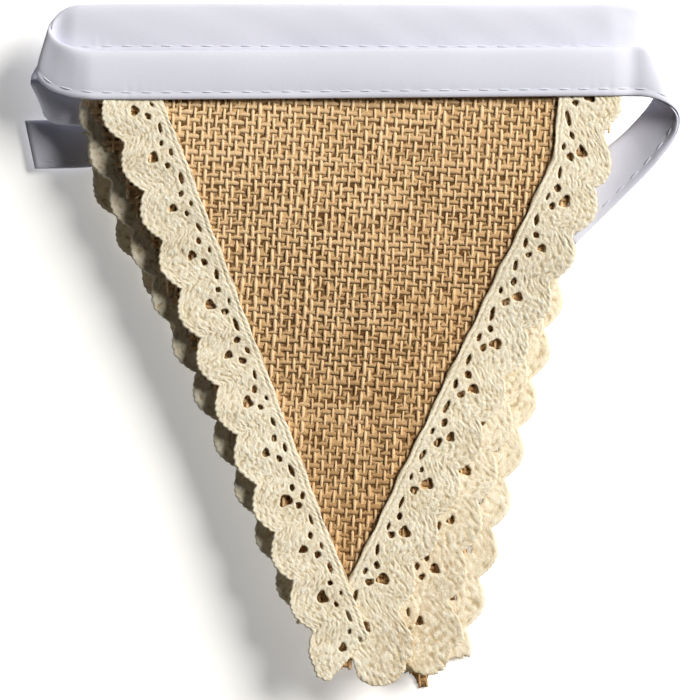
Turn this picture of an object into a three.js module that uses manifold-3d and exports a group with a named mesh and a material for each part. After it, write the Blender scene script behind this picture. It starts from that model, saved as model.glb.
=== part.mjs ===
// Fabric bunting, folded up flat: five hessian pennants edged with scalloped cotton lace, sewn into
// one white folded tape. The tape runs back and forth, so the pennants lie in a fanned stack.
// Millimetres, +Z up, the stack lying on the floor with its tips towards -Y.
import * as THREE from "three";
import { mergeVertices } from "three/addons/utils/BufferGeometryUtils.js";
import Module from "manifold-3d";

const wasm = await Module();
wasm.setup();

// Sheets
const CLOTH = 1.0; // thickness of the hessian
const LACE = 1.0; // thickness of the lace
const LEAF = 1.0; // thickness of one leaf of the folded tape
const GAP = 0.35; // between two sheets that lie on each other

// The cut pennant, from the lower edge of the tape (v = 0) down to its tip
const HALF_ANGLE = THREE.MathUtils.degToRad(23.85);
const HEADING_HALF = 65; // from the middle out to the lace's inner edge, at the tape
const RAW = 12.5; // from the lace's inner edge out to the hessian's cut edge
const SEAM = 8; // how far the pennant goes up into the tape
const CORNER_HALF = 80; // the corners are trimmed to this where they enter the tape
const BLUNT = 2; // cut off the hessian's point

// The lace
const LACE_WIDTH = 19.5;
const SCALLOP_PITCH = 16.1;
const SCALLOP_DEPTH = 3.8;
const SCALLOP_STEPS = 5; // facets along one scallop
const LACE_TRIM = 9; // a lace ends this far past the other lace's inner edge ...
const LACE_BOTTOM = 182; // ... and this far below the tape
const LACE_REACH = 210; // length of the strip before its ends are trimmed

// The stack
const PASS_GAP = 3.0; // opening between the tape's leaves where they hold a pennant
const PASS_STEP = 5.3; // from one pass of the tape up to the next
const TIP_STEP = 4.2; // from one pennant up to the next, towards the tips
const LIE_FLAT_FROM = 42; // the lowest pennant is flat on the floor from here to its tip
const RIPPLE = 1.2; // height of the top pennant's soft waves
const LAP_FROM = 116; // the laces start to ride over each other here ...
const LAP_TO = 143; // ... and do so fully from here to the tip

// The tape
const TAPE_WIDTH = 15.4;
const TAPE_FOLD = 1.2; // from the bottom of the tape's slot to its folded edge
const BARE_GAP = 0.3; // opening between its leaves where they hold nothing

// Middle of the finished stack in the drawing's axes, which becomes the origin
const MIDDLE = { x: 0.61, y: -3.22 };

// One row for each pennant, from the top of the stack down: the middle of its upper edge, its turn in
// degrees, whether its lace faces up, and how far each lace wanders outwards from its line at its
// start, a little lower, and at its end.
const PENNANTS = [
  { x: 4.0, y: 76.3, turn: -1.55, up: true, left: [-2.6, -2.4, 1.0], right: [-5.0, 1.8, 0.9] },
  { x: -7.3, y: 90.0, turn: -0.55, up: false, left: [-3, 0, 0], right: [-9, 0.5, 0] },
  { x: 0.4, y: 76.0, turn: 6.4, up: true, left: [0, 0.5, 0], right: [-2, 0, 0.5] },
  { x: 2.0, y: 83.0, turn: 2.0, up: false, left: [-1, 0, 0], right: [-1, 0, 0] },
  { x: -0.5, y: 67.2, turn: 8.0, up: true, left: [-2, 0, 0], right: [-3, 0.5, 3.5] },
];
const WANDER_AT = [0, 18, 165]; // where along a lace those three values hold

// The tape's centre line, one row for each station, from the loose end beside the top pennant to the
// far end under the lowest one. pass counts the levels down from the top, and may lie between two.
// turn is the direction of its width, from the slot to the folded edge, and rise its slope. gap is
// the opening of its slot, and steps the number of facets up to the next row.
const TAPE_ROUTE = [
  { x: 69.5, y: 45.5, pass: 1.25, turn: 137, rise: 0, gap: BARE_GAP, steps: 2 },
  { x: 78, y: 54, pass: 1.2, turn: 137, rise: 6, gap: BARE_GAP, steps: 3 },
  { x: 89, y: 65, pass: 1.05, turn: 134, rise: 24, gap: BARE_GAP, steps: 4 },
  { x: 97, y: 74, pass: 0.75, turn: 120, rise: 40, gap: BARE_GAP, steps: 4 },
  { x: 98, y: 80, pass: 0.2, turn: 104, rise: 20, gap: BARE_GAP, steps: 4 },
  { x: 93, y: 84, pass: -0.1, turn: 95, rise: 0, gap: BARE_GAP, steps: 3 },
  { x: 87, y: 84.7, pass: 0, turn: 90.5, rise: 0, gap: PASS_GAP, steps: 1 },
  { x: 82, y: 84.6, pass: 0, turn: 90.5, rise: 0, gap: PASS_GAP, steps: 1 },
  { x: -70, y: 83.2, pass: 0, turn: 90.5, rise: 0, gap: PASS_GAP, steps: 1 },
  { x: -80, y: 83.4, pass: 0, turn: 91, rise: 0, gap: PASS_GAP, steps: 3 },
  { x: -91, y: 87, pass: 0.1, turn: 92, rise: 0, gap: BARE_GAP, steps: 4 },
  { x: -95, y: 91.5, pass: 0.5, turn: 92, rise: 0, gap: BARE_GAP, steps: 4 },
  { x: -92, y: 96, pass: 0.92, turn: 90, rise: 0, gap: BARE_GAP, steps: 3 },
  { x: -87, y: 97.6, pass: 1, turn: 90, rise: 0, gap: PASS_GAP, steps: 1 },
  { x: -80, y: 97.7, pass: 1, turn: 90, rise: 0, gap: PASS_GAP, steps: 1 },
  { x: 72, y: 98.0, pass: 1, turn: 90, rise: 0, gap: PASS_GAP, steps: 1 },
  { x: 82, y: 98.1, pass: 1, turn: 92, rise: 0, gap: PASS_GAP, steps: 3 },
  { x: 91, y: 97.0, pass: 1.12, turn: 96, rise: 0, gap: BARE_GAP, steps: 4 },
  { x: 94.5, y: 95.2, pass: 1.5, turn: 100, rise: 0, gap: BARE_GAP, steps: 4 },
  { x: 91, y: 93.6, pass: 1.88, turn: 98, rise: 0, gap: BARE_GAP, steps: 3 },
  { x: 81, y: 92.78, pass: 2, turn: 96.4, rise: 0, gap: PASS_GAP, steps: 1 },
  { x: 72, y: 91.77, pass: 2, turn: 96.4, rise: 0, gap: PASS_GAP, steps: 1 },
  { x: -74, y: 75.4, pass: 2, turn: 96.4, rise: 0, gap: PASS_GAP, steps: 1 },
  { x: -82, y: 74.6, pass: 2, turn: 96.4, rise: 0, gap: PASS_GAP, steps: 3 },
  { x: -93, y: 76.6, pass: 2.1, turn: 95, rise: 0, gap: BARE_GAP, steps: 4 },
  { x: -97.5, y: 80.5, pass: 2.5, turn: 93, rise: 0, gap: BARE_GAP, steps: 4 },
  { x: -93, y: 85.0, pass: 2.9, turn: 92, rise: 0, gap: BARE_GAP, steps: 3 },
  { x: -82, y: 87.77, pass: 3, turn: 92, rise: 0, gap: PASS_GAP, steps: 1 },
  { x: -74, y: 88.05, pass: 3, turn: 92, rise: 0, gap: PASS_GAP, steps: 1 },
  { x: 76, y: 93.29, pass: 3, turn: 92, rise: 0, gap: PASS_GAP, steps: 1 },
  { x: 84, y: 93.5, pass: 3, turn: 93, rise: 0, gap: PASS_GAP, steps: 3 },
  { x: 90, y: 92.6, pass: 3.15, turn: 98, rise: 0, gap: BARE_GAP, steps: 4 },
  { x: 92.5, y: 90.8, pass: 3.5, turn: 102, rise: 0, gap: BARE_GAP, steps: 4 },
  { x: 90, y: 88.6, pass: 3.85, turn: 102, rise: 0, gap: BARE_GAP, steps: 3 },
  { x: 82, y: 86.54, pass: 4, turn: 98, rise: 0, gap: PASS_GAP, steps: 1 },
  { x: 74, y: 85.42, pass: 4, turn: 98, rise: 0, gap: PASS_GAP, steps: 1 },
  { x: -74, y: 64.62, pass: 4, turn: 98, rise: 0, gap: PASS_GAP, steps: 1 },
  { x: -82, y: 63.5, pass: 4, turn: 97, rise: 0, gap: PASS_GAP, steps: 2 },
  { x: -98.5, y: 62.0, pass: 4, turn: 98, rise: 0, gap: BARE_GAP, steps: 1 },
];

const LEVELS = PENNANTS.length - 1;
const PASS_HALF = LEAF + PASS_GAP / 2; // half the thickness of the tape where it holds a pennant
const SHEETS = CLOTH + GAP + LACE; // hessian and lace together
const COS = Math.cos(HALF_ANGLE);
const SIN = Math.sin(HALF_ANGLE);
const TAN = SIN / COS;
const TIP = (HEADING_HALF + RAW / COS) / TAN - BLUNT; // length of the hessian below the tape

const { smoothstep, degToRad } = THREE.MathUtils;

// The middle of the tape's thickness on a level, counted down from the top of the stack
function passHeight(pass) {
  return PASS_HALF + PASS_STEP * (LEVELS - pass);
}

// Height of a pennant's lowest face, v below the tape, with its soft waves
function pennantFloor(level, v, x, y) {
  const above = LEVELS - level;
  const high = passHeight(level) - SHEETS / 2;
  const fall = above ? smoothstep(v, 10, 100) : smoothstep(v, 2, LIE_FLAT_FROM);
  const share = above / LEVELS;
  const wave = 0.6 * Math.sin(x / 13 + y / 31 + 0.6) + 0.4 * Math.sin(y / 17 - x / 29);
  const ripple = RIPPLE * share * smoothstep(v, 15, 60) * (1 - smoothstep(v, 75, LAP_FROM)) * wave;
  return THREE.MathUtils.lerp(high, TIP_STEP * above, fall) + ripple;
}

// How far one sheet is lifted where the two laces ride over each other, near the tip
function lap(v) {
  return (LACE + GAP) * smoothstep(v, LAP_FROM, LAP_TO);
}

// From a pennant's own u (to its right, seen on its lace side) and v (down) to the drawing's axes
function place(level, u, v) {
  const row = PENNANTS[level];
  const turn = degToRad(row.turn);
  const across = row.up ? u : -u;
  const x = row.x + across * Math.cos(turn) + v * Math.sin(turn);
  const y = row.y + across * Math.sin(turn) - v * Math.cos(turn);
  return [x, y];
}

// A closed sheet over a grid of columns and rows: point(i, j) gives x, y and the height of its lower
// face, and the upper face lies one thickness above.
function gridSheet(columns, rows, thickness, point) {
  const positions = [];
  const index = [];
  const stride = rows + 1;
  const layer = (columns + 1) * stride;
  for (const lift of [0, thickness]) {
    for (let i = 0; i <= columns; i++) {
      for (let j = 0; j <= rows; j++) {
        const [x, y, z] = point(i, j);
        positions.push(x, y, z + lift);
      }
    }
  }
  const quad = (a, b, c, d) => index.push(a, b, c, a, c, d);
  for (let i = 0; i < columns; i++) {
    for (let j = 0; j < rows; j++) {
      const a = i * stride + j;
      quad(a, a + 1, a + stride + 1, a + stride);
      quad(layer + a, layer + a + stride, layer + a + stride + 1, layer + a + 1);
    }
  }
  const wall = (a, b) => quad(a, b, layer + b, layer + a);
  for (let i = 0; i < columns; i++) {
    wall(i * stride, (i + 1) * stride);
    wall((i + 1) * stride + rows, i * stride + rows);
  }
  for (let j = 0; j < rows; j++) {
    wall(j + 1, j);
    wall(columns * stride + j, columns * stride + j + 1);
  }
  return facingOut(positions, index);
}

// A geometry of these faces, turned inside out if it encloses a negative volume
function facingOut(positions, index) {
  const at = (n) => new THREE.Vector3().fromArray(positions, 3 * n);
  let volume = 0;
  for (let n = 0; n < index.length; n += 3) {
    volume += at(index[n]).dot(at(index[n + 1]).cross(at(index[n + 2])));
  }
  const geometry = new THREE.BufferGeometry();
  geometry.setAttribute("position", new THREE.Float32BufferAttribute(positions, 3));
  geometry.setIndex(volume < 0 ? index.slice().reverse() : index);
  return geometry;
}

function toSolid(geometry) {
  const bare = new THREE.BufferGeometry();
  bare.setAttribute("position", geometry.getAttribute("position").clone());
  bare.setIndex(geometry.getIndex());
  const merged = mergeVertices(bare, 1e-4);
  const vertProperties = Float32Array.from(merged.getAttribute("position").array);
  const triVerts = Uint32Array.from(merged.getIndex().array);
  return new wasm.Manifold(new wasm.Mesh({ numProp: 3, vertProperties, triVerts }));
}

function fromSolid(solid) {
  const mesh = solid.getMesh();
  const geometry = new THREE.BufferGeometry();
  geometry.setAttribute("position", new THREE.BufferAttribute(mesh.vertProperties, 3));
  geometry.setIndex(new THREE.BufferAttribute(mesh.triVerts, 1));
  return geometry;
}

// The hessian triangle, cut raw on both long sides
function hessian(level) {
  const columns = 17;
  const rows = 9;
  const lower = PENNANTS[level].up ? 0 : LACE + GAP;
  return gridSheet(columns, rows, CLOTH, (i, j) => {
    const v = THREE.MathUtils.lerp(-SEAM, TIP, i / columns);
    const half = Math.min(HEADING_HALF + RAW / COS - v * TAN, CORNER_HALF);
    const u = half * ((2 * j) / rows - 1);
    const [x, y] = place(level, u, v);
    const lift = PENNANTS[level].up ? 0 : lap(v);
    return [x, y, pennantFloor(level, v, x, y) + lower + lift];
  });
}

// How far a lace lies outside its line, s along it
function wander(offsets, s) {
  const [start, early, end] = offsets;
  const first = THREE.MathUtils.lerp(start, early, smoothstep(s, WANDER_AT[0], WANDER_AT[1]));
  return THREE.MathUtils.lerp(first, end, smoothstep(s, WANDER_AT[1], WANDER_AT[2]));
}

// Width of the lace s along it, with one scallop's tip at s = phase
function scallop(s, phase) {
  const turns = (s - phase) / SCALLOP_PITCH;
  const away = Math.abs(turns - Math.round(turns)) * 2;
  return LACE_WIDTH - SCALLOP_DEPTH * Math.pow(away, 1.8);
}

// The upright prism that a lace is trimmed to: level across the seam in the tape, its corner cut off
// there, slanting at the tip along the pennant's other side, and level at the very end
function laceTrim(level, side) {
  const far = 2 * LACE_REACH;
  const low = LACE_BOTTOM;
  const cutHalf = HEADING_HALF + LACE_TRIM / COS;
  const outline = [
    [-cutHalf - SEAM * TAN, -SEAM],
    [CORNER_HALF, -SEAM],
    [CORNER_HALF, 1],
    [far, 1],
    [far, low],
    [-cutHalf + low * TAN, low],
  ];
  const corners = outline.map(([u, v]) => new THREE.Vector2(...place(level, side * u, v)));
  const shape = new THREE.Shape(corners);
  const prism = new THREE.ExtrudeGeometry(shape, { depth: 80, bevelEnabled: false });
  prism.translate(0, 0, -20);
  return prism;
}

// One lace: side is -1 on the left and 1 on the right, seen on the pennant's lace side. The left lace
// lies over the right one at the tip.
function lace(level, side) {
  const row = PENNANTS[level];
  const offsets = side < 0 ? row.left : row.right;
  const phase = side < 0 ? 3.4 : 12.3;
  const rows = level < 3 ? 2 : 1;
  const step = SCALLOP_PITCH / SCALLOP_STEPS;
  const first = phase - 1.5 * SCALLOP_PITCH;
  const columns = Math.ceil(LACE_REACH / step);
  const lower = row.up ? CLOTH + GAP : 0;
  const rides = row.up ? side < 0 : side > 0;
  const strip = gridSheet(columns, rows, LACE, (i, j) => {
    const s = first + i * step;
    const outward = (scallop(s, phase) * j) / rows + wander(offsets, s);
    const u = side * (HEADING_HALF - s * SIN + outward * COS);
    const v = s * COS + outward * SIN;
    const [x, y] = place(level, u, v);
    return [x, y, pennantFloor(level, v, x, y) + lower + (rides ? lap(v) : 0)];
  });
  return fromSolid(toSolid(strip).intersect(toSolid(laceTrim(level, side))));
}

// The folded tape: two leaves joined along one edge, swept along its route as one solid
function foldedTape() {
  const points = TAPE_ROUTE.map((row) => new THREE.Vector3(row.x, row.y, passHeight(row.pass)));
  const curve = new THREE.CatmullRomCurve3(points);
  const spans = points.length - 1;
  const sections = [];
  TAPE_ROUTE.forEach((row, n) => {
    const next = TAPE_ROUTE[Math.min(n + 1, spans)];
    const count = n < spans ? row.steps : 1;
    for (let k = 0; k < count; k++) {
      const share = k / row.steps;
      const blend = (name) => THREE.MathUtils.lerp(row[name], next[name], share);
      const turn = degToRad(blend("turn"));
      const rise = degToRad(blend("rise"));
      const flat = Math.cos(rise);
      const width = new THREE.Vector3(Math.cos(turn) * flat, Math.sin(turn) * flat, Math.sin(rise));
      const at = (n + share) / spans;
      const normal = curve.getTangent(at).cross(width).normalize();
      sections.push({ centre: curve.getPoint(at), width, normal, gap: blend("gap") });
    }
  });
  const positions = [];
  for (const { centre, width, normal, gap } of sections) {
    const outer = gap / 2 + LEAF;
    const slotEnd = TAPE_WIDTH / 2 - TAPE_FOLD;
    const profile = [
      [-TAPE_WIDTH / 2, outer],
      [TAPE_WIDTH / 2, outer],
      [TAPE_WIDTH / 2, -outer],
      [-TAPE_WIDTH / 2, -outer],
      [-TAPE_WIDTH / 2, -gap / 2],
      [slotEnd, -gap / 2],
      [slotEnd, gap / 2],
      [-TAPE_WIDTH / 2, gap / 2],
    ];
    for (const [along, off] of profile) {
      const corner = centre.clone().addScaledVector(width, along).addScaledVector(normal, off);
      positions.push(corner.x, corner.y, corner.z);
    }
  }
  const index = [];
  const sides = 8;
  for (let n = 0; n + 1 < sections.length; n++) {
    for (let k = 0; k < sides; k++) {
      const a = n * sides + k;
      const b = n * sides + ((k + 1) % sides);
      index.push(a, b, b + sides, a, b + sides, a + sides);
    }
  }
  const cap = [0, 1, 6, 0, 6, 7, 1, 2, 5, 1, 5, 6, 2, 3, 4, 2, 4, 5];
  const last = (sections.length - 1) * sides;
  for (let k = 0; k < cap.length; k += 3) {
    index.push(cap[k], cap[k + 2], cap[k + 1]);
    index.push(last + cap[k], last + cap[k + 1], last + cap[k + 2]);
  }
  return facingOut(positions, index);
}

const FINISH = {
  tape: { color: 0xe4e5f1, roughness: 0.75, metalness: 0 },
  hessian: { color: 0xc79f68, roughness: 0.95, metalness: 0 },
  lace: { color: 0xe9e0c4, roughness: 0.9, metalness: 0 },
};

const group = new THREE.Group();

function add(name, geometry, finish) {
  const mesh = new THREE.Mesh(geometry, new THREE.MeshStandardMaterial(FINISH[finish]));
  mesh.name = name;
  mesh.position.set(-MIDDLE.x, -MIDDLE.y, 0);
  group.add(mesh);
}

add("tape", foldedTape(), "tape");
PENNANTS.forEach((row, level) => {
  add(`hessian_${level + 1}`, hessian(level), "hessian");
  add(`lace_left_${level + 1}`, lace(level, -1), "lace");
  add(`lace_right_${level + 1}`, lace(level, 1), "lace");
});

export default group;
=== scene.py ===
import math
import bpy
import numpy as np
from mathutils import Euler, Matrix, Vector


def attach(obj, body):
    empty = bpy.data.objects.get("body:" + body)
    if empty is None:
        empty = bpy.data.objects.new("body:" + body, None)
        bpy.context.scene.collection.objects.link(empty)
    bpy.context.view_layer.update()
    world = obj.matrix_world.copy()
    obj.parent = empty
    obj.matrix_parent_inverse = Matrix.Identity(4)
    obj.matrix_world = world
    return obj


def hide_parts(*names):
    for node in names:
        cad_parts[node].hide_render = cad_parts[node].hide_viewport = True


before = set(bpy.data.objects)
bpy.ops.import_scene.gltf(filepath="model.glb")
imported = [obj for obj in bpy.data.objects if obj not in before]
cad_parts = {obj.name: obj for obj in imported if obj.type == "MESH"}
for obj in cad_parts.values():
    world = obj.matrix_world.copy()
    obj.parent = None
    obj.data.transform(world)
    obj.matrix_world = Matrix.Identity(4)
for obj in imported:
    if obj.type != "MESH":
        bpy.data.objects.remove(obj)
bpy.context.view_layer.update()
bpy.ops.object.select_all(action="DESELECT")


# ---------------------------------------------------------------------------------------------
# The hessian pennants. Five triangles of open jute cloth, cut raw on both long sides, so the ends
# of the yarns fray there. Each lies in the folded stack a little turned and shifted from the next.
# ---------------------------------------------------------------------------------------------

MM = 0.001
MIDDLE_X, MIDDLE_Y = 0.61, -3.22  # the stack's middle in the axes of the places below, in millimetres

HALF_ANGLE = math.radians(23.85)  # half the angle at a pennant's tip
COS, SIN, TAN = math.cos(HALF_ANGLE), math.sin(HALF_ANGLE), math.tan(HALF_ANGLE)
HEADING_HALF = 65.0  # from the middle out to the lace's inner edge, at the tape
RAW = 12.5  # from there out to the cut edge
RAW_HALF = HEADING_HALF + RAW / COS
TIP_BLUNT = 2.0
TIP = RAW_HALF / TAN - TIP_BLUNT  # from the tape down to the tip
CORNER_HALF = 80.0  # from the middle out to the corners that the tape holds
SEAM = 8.0  # how far the cloth reaches up inside the tape
CLOTH, LACE = 1.0, 1.0  # thickness of a pennant's two sheets
GAP = 0.35  # between sheets that lie on each other
SHEETS = CLOTH + GAP + LACE
TIP_STEP = 4.2  # from one pennant up to the next, at the tips
PASS_STEP = 5.3  # the same in the tape, which passes back and forth
PASS_HALF = 2.5  # height of the lowest pass
LAP_FROM, LAP_TO = 116.0, 143.0  # where the two laces meet, and where one lies wholly on the other
FALL = (10, 100)  # where a pennant comes down from the tape to its own place in the stack
LOWEST_FALL = (2, 42)
RIPPLE = 1.2  # height of the waves in the top pennant
RIPPLE_GROWS, RIPPLE_FADES = (15, 60), (75, LAP_FROM)

# From the top of the stack down: the middle of the upper edge, the turn in degrees, and whether the
# lace faces up
PENNANTS = (
    dict(x=4.0, y=76.3, turn=-1.55, up=True),
    dict(x=-7.3, y=90.0, turn=-0.55, up=False),
    dict(x=0.4, y=76.0, turn=6.4, up=True),
    dict(x=2.0, y=83.0, turn=2.0, up=False),
    dict(x=-0.5, y=67.2, turn=8.0, up=True),
)
LOWEST = len(PENNANTS) - 1

WARP_PITCH, WEFT_PITCH = 2.2, 2.37
WARP_LEAN = -0.042  # how far the warp leans sideways on its way down
WEFT_LEAN = 0.021  # fall of the weft on its way to the right
WARP_RISE, WEFT_RISE = 0.26, 0.10  # how far a yarn swings up and down through the weave
WARP_PROUD = 0.14  # how far the tight warp stands above the weft on the whole
WARP_WIDE, WARP_THICK = 0.54, 0.28  # half the width and thickness of a yarn
WEFT_WIDE, WEFT_THICK = 0.86, 0.27
WEFT_PINCH = 0.10  # how much narrower the weft is over the warp, and wider under it
WARP_DRIFT, WEFT_DRIFT = 0.16, 0.18  # unevenness of the yarns' spacing
SWAY_FAR = (0.22, 0.10)  # how far a yarn sways from its line, slowly and quickly
WARP_SWAY, WEFT_SWAY = (11, 3.1), (12, 3.3)  # and over what length
# Painted light and shade: the warp is coloured paler, as where light catches its crest, and the weft darker,
# as where it lies in shade between the warps
WARP_PAINTED_LIGHT, WEFT_PAINTED_SHADE = 1.5, -1.9
WARP_SHADES, WEFT_SHADES = 0.6, 0.45  # spread of tone from yarn to yarn
WARP_SLUB, WEFT_SLUB = 0.30, 0.28  # unevenness of a yarn's width
SLUB_WAVES = (6.1, 15.7, 2.7)  # the lengths over which it swells
SLUB_TONE = 0.8  # how much paler a thick place is
SPARE_WARPS, SPARE_WEFTS = 6, 4  # more yarns than the size asks for, because the weave leans
WARP_START, WEFT_START = -6, -2  # where the warps and the first weft begin, in wefts from the tape
WEAVE_TOP = -2.0  # the raised weave reaches this far up into the tape
SHORTEST_RUN = 4  # points of a yarn that is still worth laying
LEAST_FRAY, FRAY = -0.4, 2.2  # shortest and longest yarn end past the cut edge
FRAY_DROOP, FRAY_TAPER = 0.25, 0.35  # how far a loose end hangs, and how much thinner it gets
TIP_ZONE = (TIP - 14, TIP - 8)  # where the ends at the sides get shorter, and by how much
TIP_SHORTER = 0.7
TIP_FRAY = 0.8  # how much further the warp hangs out at the tip
UNDER_LACE_SHADE = -1.3  # painted shade: a darker tone where the lace lies over the cloth, seen through its holes
UNDER_LACE_SHADE_EDGE = (0.5, 3)  # how gently that begins, outwards from the lace's inner edge
TABLE_GAP = 0.03  # least room under a yarn
LOWEST_LIFT = 0.08  # how much higher the weave that lies on the table is laid
EDGE_BAND = 14.0  # pennants inside the stack have their raised weave only this far in from the cut edges

FIBRE_PLACE = (3, TIP - 4)  # where stray fibres start along the cut edge
FIBRE_ROOT = (-1.5, 0.8)  # and how far past it
FIBRE_LENGTH = (1.5, 4.5)
FIBRE_POINTS = 7
FIBRE_HEADING = (-1.0, 1.2)  # in radians, from straight out towards the tip
FIBRE_BEND = 0.22  # in radians to the millimetre
FIBRE_UP, FIBRE_CLIMB = 0.16, (-0.05, 0.14)  # height above the cloth at the start, and its slope
FIBRE_LEAST_UP = 0.12
FIBRE_HALF = 0.075  # half its thickness

GROUND_THICK = 0.12
GROUND_UP = 0.07  # how far the ground lies above the middle of the weave
GROUND_COLUMNS, GROUND_ROWS = 34, 14
GROUND_FROM, GROUND_TO = 1 - SEAM, TIP - 0.5
GROUND_INSET = 0.4  # how far the ground ends inside the cut edge

chance = np.random.default_rng(41)


def smooth(value, low, high):
    """A soft step from 0 at low to 1 at high."""
    share = np.clip((value - low) / (high - low), 0, 1)
    return share * share * (3 - 2 * share)


def pass_height(level):
    """Height of the tape's middle where it passes over this pennant."""
    return PASS_HALF + PASS_STEP * (LOWEST - level)


def place(level, u, v):
    """A pennant's own u (to its right on its lace side) and v (down from the tape) in the floor's axes."""
    row = PENNANTS[level]
    turn = math.radians(row["turn"])
    across = u if row["up"] else -u
    x = row["x"] + across * math.cos(turn) + v * math.sin(turn)
    y = row["y"] + across * math.sin(turn) - v * math.cos(turn)
    return x, y


def pennant_floor(level, v, x, y):
    """Height of a pennant's lowest face, with its soft waves."""
    above = LOWEST - level
    high = pass_height(level) - SHEETS / 2
    fall = smooth(v, *(FALL if above else LOWEST_FALL))
    wave = 0.6 * np.sin(x / 13 + y / 31 + 0.6) + 0.4 * np.sin(y / 17 - x / 29)
    ripple = RIPPLE * above / LOWEST * smooth(v, *RIPPLE_GROWS) * (1 - smooth(v, *RIPPLE_FADES)) * wave
    return high + (TIP_STEP * above - high) * fall + ripple


def lap(v):
    """How far one sheet is lifted where the two laces ride over each other."""
    return (LACE + GAP) * smooth(v, LAP_FROM, LAP_TO)


def on_pennant(level, u, v, height):
    """Points of a pennant, height being above its lowest face, as rows of x, y, z in millimetres."""
    x, y = place(level, u, v)
    z = pennant_floor(level, v, x, y) + height
    return np.stack([x - MIDDLE_X, y - MIDDLE_Y, z], axis=-1)


def hessian_height(level, v):
    """Middle of the hessian above its pennant's lowest face."""
    if PENNANTS[level]["up"]:
        return CLOTH / 2 + 0 * v
    return LACE + GAP + CLOTH / 2 + lap(v)


def mesh_piece(name, points, faces, tones=None):
    """A new smooth-shaded piece of these points in millimetres, with a tone for each point."""
    mesh = bpy.data.meshes.new(name)
    mesh.from_pydata((np.asarray(points) * MM).tolist(), [], faces)
    if tones is not None:
        layer = mesh.attributes.new("tone", "FLOAT", "POINT")
        layer.data.foreach_set("value", np.asarray(tones, dtype=np.float32))
    mesh.polygons.foreach_set("use_smooth", [True] * len(mesh.polygons))
    mesh.update()
    piece = bpy.data.objects.new(name, mesh)
    bpy.context.scene.collection.objects.link(piece)
    return piece


class Strands:
    """Collects yarns and threads, each a tube of a few sides round its path."""

    def __init__(self):
        self.points, self.faces, self.tones, self.count = [], [], [], 0

    def add(self, path, wide, thick, sides, tone, side_axis=None):
        """Adds one, given half its width and thickness; it lies flat unless its side axis is given."""
        path = np.asarray(path, dtype=float)
        steps = len(path)
        along = np.gradient(path, axis=0)
        along /= np.linalg.norm(along, axis=1, keepdims=True)
        if side_axis is None:
            side_axis = np.stack([-along[:, 1], along[:, 0], np.zeros(steps)], axis=1)
        side_axis = side_axis / np.linalg.norm(side_axis, axis=1, keepdims=True)
        top_axis = np.cross(along, side_axis)
        wide = np.broadcast_to(np.asarray(wide, dtype=float), (steps,))
        thick = np.broadcast_to(np.asarray(thick, dtype=float), (steps,))
        turn = np.arange(sides) * 2 * math.pi / sides + math.pi / 2
        out = side_axis[:, None, :] * (np.cos(turn) * wide[:, None])[:, :, None]
        rise = top_axis[:, None, :] * (np.sin(turn) * thick[:, None])[:, :, None]
        ring = path[:, None, :] + out + rise
        self.points.append(ring.reshape(-1, 3))
        tone = np.broadcast_to(np.asarray(tone, dtype=float), (steps,))
        self.tones.append(np.repeat(tone, sides))
        start = self.count + np.arange(steps - 1)[:, None] * sides
        corner = np.arange(sides)[None, :]
        here, beside = start + corner, start + (corner + 1) % sides
        walls = np.stack([here, beside, beside + sides, here + sides], axis=-1)
        self.faces.extend(walls.reshape(-1, 4).tolist())
        self.faces.append([self.count + k for k in reversed(range(sides))])
        self.faces.append([self.count + (steps - 1) * sides + k for k in range(sides)])
        self.count += steps * sides

    def piece(self, name):
        """All of them as one piece."""
        return mesh_piece(name, np.concatenate(self.points), self.faces, np.concatenate(self.tones))


def slubs(length, spread):
    """Slow uneven swelling along a yarn."""
    phases = chance.uniform(0, 2 * math.pi, len(SLUB_WAVES))
    wave = sum(np.sin(length / long + phase) for long, phase in zip(SLUB_WAVES, phases))
    return 1 + spread * wave / len(SLUB_WAVES)


def sway(length, soon):
    """How far a yarn sways from its line, along its length."""
    slow = SWAY_FAR[0] * np.sin(length / soon[0] + chance.uniform(0, 6))
    return slow + SWAY_FAR[1] * np.sin(length / soon[1] + chance.uniform(0, 6))


def yarn(strands, level, u, v, height, wide, thick, sides, shade, shades, slub, tip_fray):
    """Lays one yarn of the weave, keeping only the stretch that lies on the pennant."""
    first_fray, last_fray = chance.uniform(LEAST_FRAY, FRAY, 2)
    across = np.abs(u)
    half = RAW_HALF - v * TAN
    fray = np.where(u < 0, first_fray, last_fray)
    at_tip = smooth(v, *TIP_ZONE)
    kept = (across < half + fray * (1 - TIP_SHORTER * at_tip)) & (across < CORNER_HALF + 1)
    kept &= (v > WEAVE_TOP) & (v < TIP + 0.3 * fray + tip_fray)
    if 0 < level < LOWEST:
        kept &= across > half - EDGE_BAND
    edges = np.flatnonzero(np.diff(np.concatenate([[0], kept.astype(int), [0]])))
    tone = shade + chance.normal(0, shades)
    swell = slubs(v + u, slub) * chance.uniform(1 - slub / 2, 1 + slub / 2)
    wide = np.broadcast_to(wide, u.shape)
    past = np.clip(across - half, 0, FRAY) / FRAY
    # Painted shade on the cloth that lies under the lace, seen through its holes and past its edge
    under_lace_shade = UNDER_LACE_SHADE * smooth(across - half + RAW / COS, *UNDER_LACE_SHADE_EDGE) * (1 - at_tip)
    for start, stop in edges.reshape(-1, 2):
        if stop - start < SHORTEST_RUN:
            continue
        run = slice(start, stop)
        drooped = height[run] - FRAY_DROOP * past[run] ** 2
        taper = swell[run] * (1 - FRAY_TAPER * past[run])
        if level == LOWEST:
            drooped = np.maximum(drooped, thick * taper + TABLE_GAP)
        path = on_pennant(level, u[run], v[run], drooped)
        tones = tone + SLUB_TONE * (swell[run] - 1) + under_lace_shade[run]
        strands.add(path, wide[run] * taper, thick * taper, sides, tones)


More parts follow.
